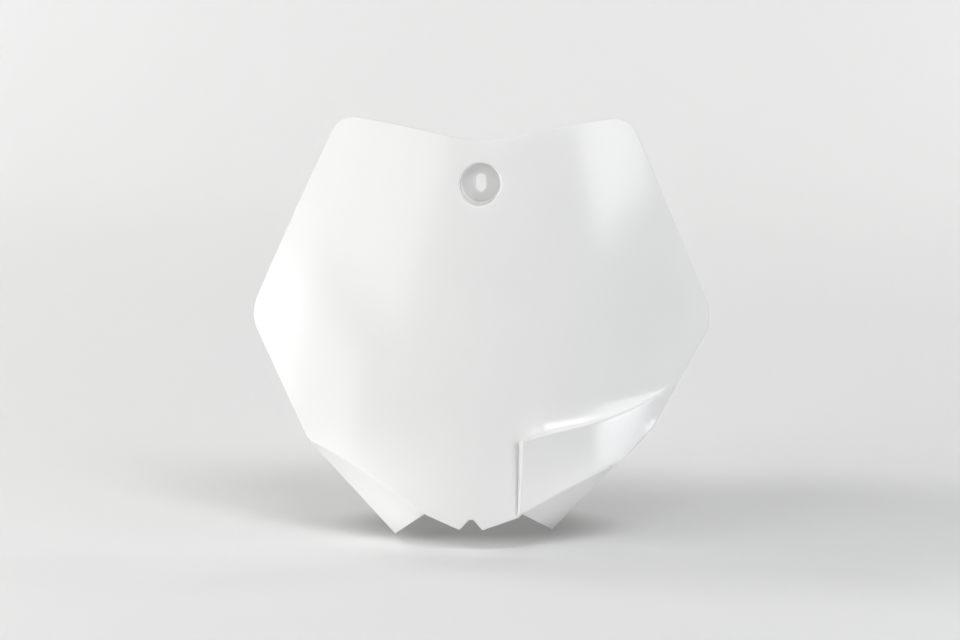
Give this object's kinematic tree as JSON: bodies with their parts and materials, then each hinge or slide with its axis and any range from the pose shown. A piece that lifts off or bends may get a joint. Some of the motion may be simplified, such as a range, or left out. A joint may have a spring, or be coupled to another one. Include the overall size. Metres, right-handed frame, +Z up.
{
  "type": "racing number board",
  "caption": "Thin curved plastic number board for an off-road motorbike, with two folded wings, a hose bulge, a toothed bottom edge and a slotted screw pocket.",
  "frame": {"origin": "centre of the screw seat: on the axis of the round pocket, in the plane of the front of its floor", "axes": "+Z is up as mounted, -Y is ahead of the motorbike and out of the pocket's mouth, +X is to the right for someone looking at the face; the face leans back by 22.5 degrees"},
  "size_m": [0.247, 0.1009, 0.218],
  "materials": {
    "number_board": "smooth white moulded plastic with a soft gloss"
  },
  "bodies": {
    "root": {"number_board": "number_board"}
  },
  "joints": []
}
